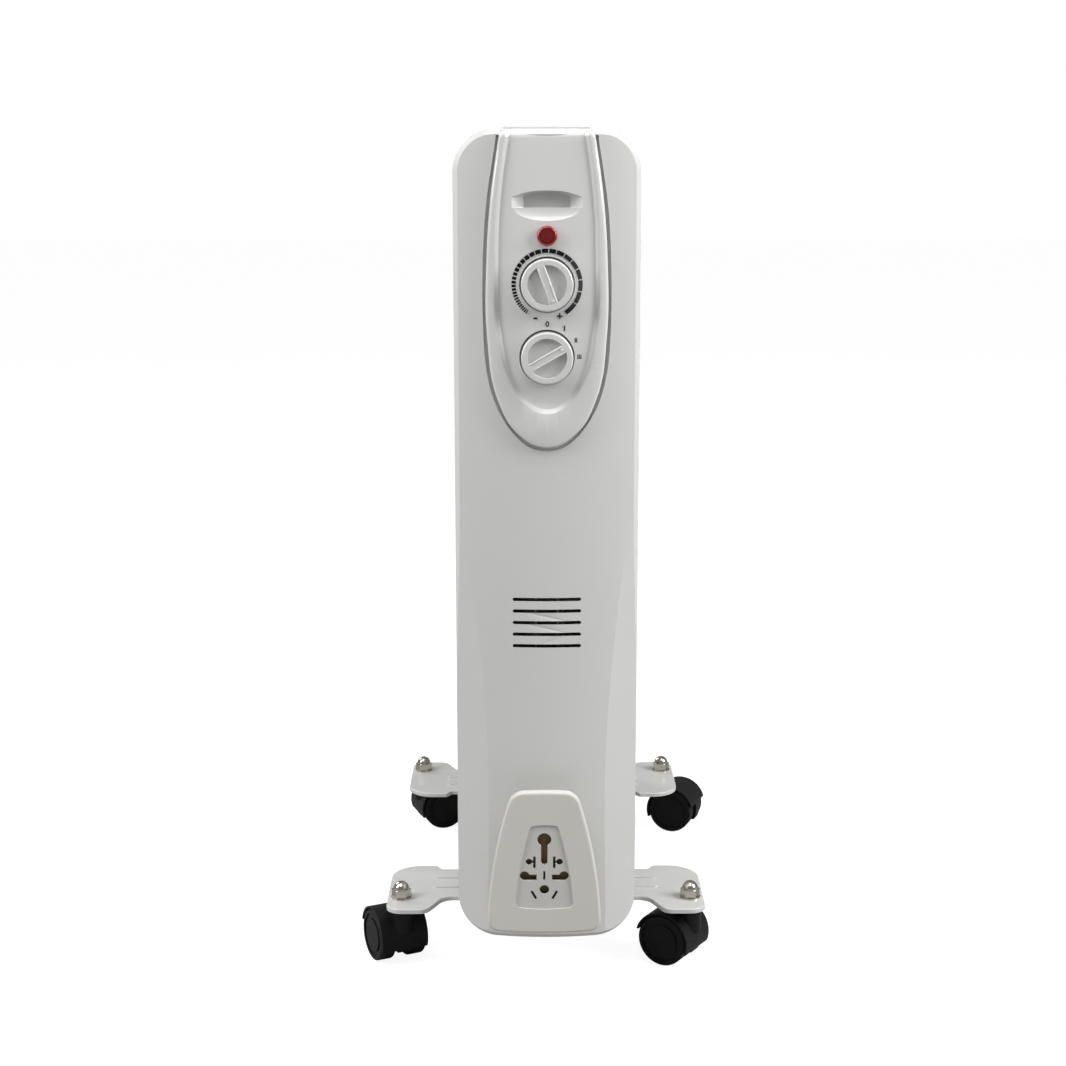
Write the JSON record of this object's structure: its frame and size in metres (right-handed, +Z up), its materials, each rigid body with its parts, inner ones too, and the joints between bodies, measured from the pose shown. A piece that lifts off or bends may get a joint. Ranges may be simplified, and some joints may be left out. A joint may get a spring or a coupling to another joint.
{
  "type": "oil filled radiator heater",
  "caption": "Oil filled column heater with stacked steel fins, a crowned steel control box with two rotary knobs, a cord wrap, and two steel feet on twin-wheel casters.",
  "frame": {"origin": "on the floor, in the middle between the two feet, on the control box's middle plane", "axes": "+X to the right seen from the front, +Y from the control box to the back, +Z up"},
  "size_m": [0.298, 0.4544, 0.6356],
  "materials": {
    "painted_steel": "semi-gloss light grey-white enamel on pressed steel",
    "panel_plastic": "glossy off-white moulded plastic",
    "wrap_plastic": "matte warm off-white moulded plastic",
    "park_plastic": "matte warm grey-white plastic plate",
    "black_plastic": "black moulded nylon, fine texture",
    "nickel": "bright nickel plate",
    "zinc_steel": "zinc plated steel",
    "red_lens": "clear red acrylic",
    "lamp_glass": "clear glass neon lamp",
    "phenolic": "brown phenolic moulding",
    "bimetal": "rolled bimetal and brass",
    "gasket_fibre": "fibre reinforced gasket",
    "wire_jacket": "silicone wire jacket"
  },
  "bodies": {
    "root": {"front_cover": "painted_steel", "back_plate": "painted_steel", "cover_screws": "zinc_steel", "control_panel": "panel_plastic", "top_trim": "panel_plastic", "switch_plate": "zinc_steel", "thermostat_frame": "zinc_steel", "contact_block": "phenolic", "bimetal_strip": "bimetal", "switch_body": "phenolic", "pilot_lens": "red_lens", "lamp_holder": "phenolic", "neon_lamp": "lamp_glass", "cord_wrap": "wrap_plastic", "plug_park_plate": "park_plastic", "cord_gland": "black_plastic", "heating_elements": "zinc_steel", "element_flange": "bimetal", "element_gasket": "gasket_fibre", "oil_plug": "nickel", "terminal_block": "phenolic", "thermal_cutout": "phenolic", "cutout_clip": "zinc_steel", "internal_wires": "wire_jacket", "front_foot": "painted_steel", "rear_foot": "painted_steel", "front_u_bolt": "zinc_steel", "rear_u_bolt": "zinc_steel", "wing_nuts": "zinc_steel", "caster_stems": "zinc_steel", "dome_nuts": "nickel", "fin_1": "painted_steel", "fin_2": "painted_steel", "fin_3": "painted_steel", "fin_4": "painted_steel", "fin_5": "painted_steel", "fin_6": "painted_steel", "fin_7": "painted_steel", "fin_8": "painted_steel", "fin_9": "painted_steel"},
    "thermostat_dial": {"thermostat_knob": "panel_plastic", "thermostat_spindle": "zinc_steel"},
    "selector_dial": {"selector_knob": "panel_plastic", "switch_rotor": "panel_plastic"},
    "caster_front_left": {"caster_hood_front_left": "black_plastic", "caster_axle_front_left": "zinc_steel"},
    "roller_front_left_a": {"wheel_front_left_a": "black_plastic"},
    "roller_front_left_b": {"wheel_front_left_b": "black_plastic"},
    "caster_front_right": {"caster_hood_front_right": "black_plastic", "caster_axle_front_right": "zinc_steel"},
    "roller_front_right_a": {"wheel_front_right_a": "black_plastic"},
    "roller_front_right_b": {"wheel_front_right_b": "black_plastic"},
    "caster_rear_left": {"caster_hood_rear_left": "black_plastic", "caster_axle_rear_left": "zinc_steel"},
    "roller_rear_left_a": {"wheel_rear_left_a": "black_plastic"},
    "roller_rear_left_b": {"wheel_rear_left_b": "black_plastic"},
    "caster_rear_right": {"caster_hood_rear_right": "black_plastic", "caster_axle_rear_right": "zinc_steel"},
    "roller_rear_right_a": {"wheel_rear_right_a": "black_plastic"},
    "roller_rear_right_b": {"wheel_rear_right_b": "black_plastic"}
  },
  "joints": [
    {"name": "thermostat_turn", "type": "hinge", "parent": "root", "child": "thermostat_dial", "pos_m": [0, -0.24, 0.5288], "axis": [0, 1, 0], "range_deg": [-318, 0]},
    {"name": "selector_turn", "type": "hinge", "parent": "root", "child": "selector_dial", "pos_m": [0, -0.24, 0.4789], "axis": [0, 1, 0], "range_deg": [-60, 30]},
    {"name": "swivel_front_left", "type": "hinge", "parent": "root", "child": "caster_front_left", "pos_m": [-0.1119, -0.16, 0.04], "axis": [0, 0, 1], "continuous": true},
    {"name": "roll_front_left_a", "type": "hinge", "parent": "caster_front_left", "child": "roller_front_left_a", "pos_m": [-0.11848, -0.14652, 0.02], "axis": [-0.8988, -0.4384, 0], "continuous": true},
    {"name": "roll_front_left_b", "type": "hinge", "parent": "caster_front_left", "child": "roller_front_left_b", "pos_m": [-0.11848, -0.14652, 0.02], "axis": [-0.8988, -0.4384, 0], "continuous": true},
    {"name": "swivel_front_right", "type": "hinge", "parent": "root", "child": "caster_front_right", "pos_m": [0.1119, -0.16, 0.04], "axis": [0, 0, 1], "continuous": true},
    {"name": "roll_front_right_a", "type": "hinge", "parent": "caster_front_right", "child": "roller_front_right_a", "pos_m": [0.09918, -0.15205, 0.02], "axis": [-0.5299, -0.848, 0], "continuous": true},
    {"name": "roll_front_right_b", "type": "hinge", "parent": "caster_front_right", "child": "roller_front_right_b", "pos_m": [0.09918, -0.15205, 0.02], "axis": [-0.5299, -0.848, 0], "continuous": true},
    {"name": "swivel_rear_left", "type": "hinge", "parent": "root", "child": "caster_rear_left", "pos_m": [-0.1119, 0.16, 0.04], "axis": [0, 0, 1], "continuous": true},
    {"name": "roll_rear_left_a", "type": "hinge", "parent": "caster_rear_left", "child": "roller_rear_left_a", "pos_m": [-0.09781, 0.16513, 0.02], "axis": [-0.342, 0.9397, 0], "continuous": true},
    {"name": "roll_rear_left_b", "type": "hinge", "parent": "caster_rear_left", "child": "roller_rear_left_b", "pos_m": [-0.09781, 0.16513, 0.02], "axis": [-0.342, 0.9397, 0], "continuous": true},
    {"name": "swivel_rear_right", "type": "hinge", "parent": "root", "child": "caster_rear_right", "pos_m": [0.1119, 0.16, 0.04], "axis": [0, 0, 1], "continuous": true},
    {"name": "roll_rear_right_a", "type": "hinge", "parent": "caster_rear_right", "child": "roller_rear_right_a", "pos_m": [0.12581, 0.15438, 0.02], "axis": [0.3746, 0.9272, 0], "continuous": true},
    {"name": "roll_rear_right_b", "type": "hinge", "parent": "caster_rear_right", "child": "roller_rear_right_b", "pos_m": [0.12581, 0.15438, 0.02], "axis": [0.3746, 0.9272, 0], "continuous": true}
  ]
}
